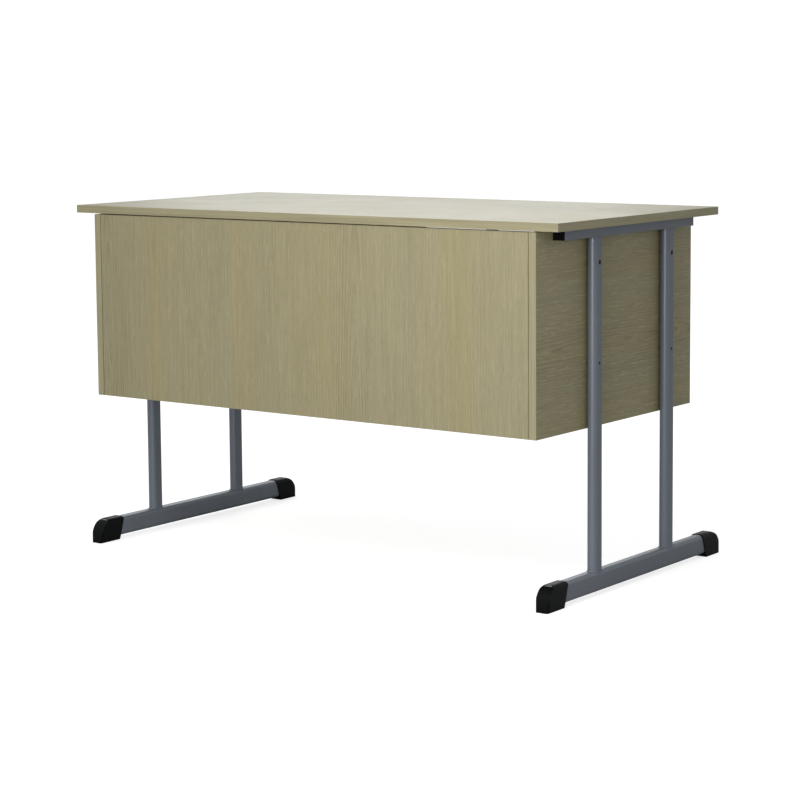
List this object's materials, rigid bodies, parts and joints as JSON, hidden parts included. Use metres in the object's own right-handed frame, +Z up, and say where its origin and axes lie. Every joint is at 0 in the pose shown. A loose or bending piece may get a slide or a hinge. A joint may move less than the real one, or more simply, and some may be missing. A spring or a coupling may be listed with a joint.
{
  "type": "teacher desk",
  "caption": "Teacher's desk: laminated board top and hanging panels on welded steel frames, with a lockable drawer above a lockable cupboard behind the front panel.",
  "frame": {"origin": "on the floor, under the middle of the two feet", "axes": "+X along the desk to the viewer's right when facing the front panel, -Y towards the class, +Y towards the teacher, +Z up"},
  "size_m": [1.2, 0.66, 0.72],
  "materials": {
    "top_laminate": "satin pale oak laminate, grain along the desk",
    "panel_laminate": "satin pale oak laminate",
    "edge_band": "thin plastic band printed to match the laminate",
    "frame_paint": "blue-grey powder coat, fine orange peel",
    "black_plastic": "moulded black plastic",
    "zinc_steel": "bright zinc plate",
    "slide_steel": "rolled zinc-plated strip",
    "handle_metal": "satin nickel",
    "lock_metal": "nickel plate",
    "beech_dowel": "fluted beech",
    "hardboard": "white-faced hardboard"
  },
  "bodies": {
    "desk": {"desk_top": "top_laminate", "desk_top_edge_band": "edge_band", "front_panel": "panel_laminate", "left_side_panel": "panel_laminate", "right_side_panel": "panel_laminate", "panel_edge_bands": "edge_band", "pedestal_divider": "panel_laminate", "pedestal_bottom": "panel_laminate", "pedestal_shelf": "panel_laminate", "left_top_rail": "frame_paint", "right_top_rail": "frame_paint", "left_front_upright": "frame_paint", "left_rear_upright": "frame_paint", "right_front_upright": "frame_paint", "right_rear_upright": "frame_paint", "left_foot_bar": "frame_paint", "right_foot_bar": "frame_paint", "left_foot_caps": "black_plastic", "right_foot_caps": "black_plastic", "rail_end_plugs": "black_plastic", "upright_spacers": "black_plastic", "panel_screws": "zinc_steel", "rail_screws": "zinc_steel", "corner_brackets": "black_plastic", "bracket_screws": "zinc_steel", "cam_locks": "zinc_steel", "cam_bolts": "zinc_steel", "dowels": "beech_dowel", "slide_cabinet_members": "slide_steel", "slide_cabinet_screws": "zinc_steel", "hinge_fixed_leaves": "zinc_steel", "hinge_pins": "zinc_steel", "lock_strikes": "zinc_steel", "door_catch": "black_plastic", "pedestal_screws": "zinc_steel"},
    "drawer": {"drawer_front": "panel_laminate", "drawer_front_edge_band": "edge_band", "drawer_left_side": "panel_laminate", "drawer_right_side": "panel_laminate", "drawer_back": "panel_laminate", "drawer_bottom": "hardboard", "drawer_dowels": "beech_dowel", "slide_drawer_members": "slide_steel", "slide_drawer_screws": "zinc_steel", "drawer_handle": "handle_metal", "drawer_handle_screws": "zinc_steel", "drawer_lock_housing": "lock_metal"},
    "drawer_lock": {"drawer_lock_plug": "lock_metal", "drawer_lock_cam": "lock_metal"},
    "slide_middle": {"slide_middle_members": "slide_steel"},
    "cupboard_door": {"door": "panel_laminate", "door_edge_band": "edge_band", "door_handle": "handle_metal", "door_handle_screws": "zinc_steel", "door_lock_housing": "lock_metal", "hinge_moving_leaves": "zinc_steel", "hinge_door_screws": "zinc_steel", "door_catch_plate": "zinc_steel"},
    "door_lock": {"door_lock_plug": "lock_metal", "door_lock_cam": "lock_metal"}
  },
  "joints": [
    {"name": "drawer_slide", "type": "slide", "parent": "desk", "child": "drawer", "axis": [0, 1, 0], "range_m": [0, 0.4]},
    {"name": "slide_middle_travel", "type": "slide", "parent": "desk", "child": "slide_middle", "axis": [0, 1, 0], "range_m": [0, 0.2]},
    {"name": "door_hinge", "type": "hinge", "parent": "desk", "child": "cupboard_door", "pos_m": [-0.5545, 0.249, 0.44], "axis": [0, 0, 1], "range_deg": [0, 105]},
    {"name": "drawer_lock_turn", "type": "hinge", "parent": "drawer", "child": "drawer_lock", "pos_m": [-0.335, 0.266, 0.68], "axis": [0, -1, 0], "range_deg": [0, 180]},
    {"name": "door_lock_turn", "type": "hinge", "parent": "cupboard_door", "child": "door_lock", "pos_m": [-0.158, 0.266, 0.525], "axis": [0, -1, 0], "range_deg": [0, 90]}
  ],
  "couplings": [
    {"joint": "slide_middle_travel", "follows": "drawer_slide", "ratio": 0.5}
  ]
}
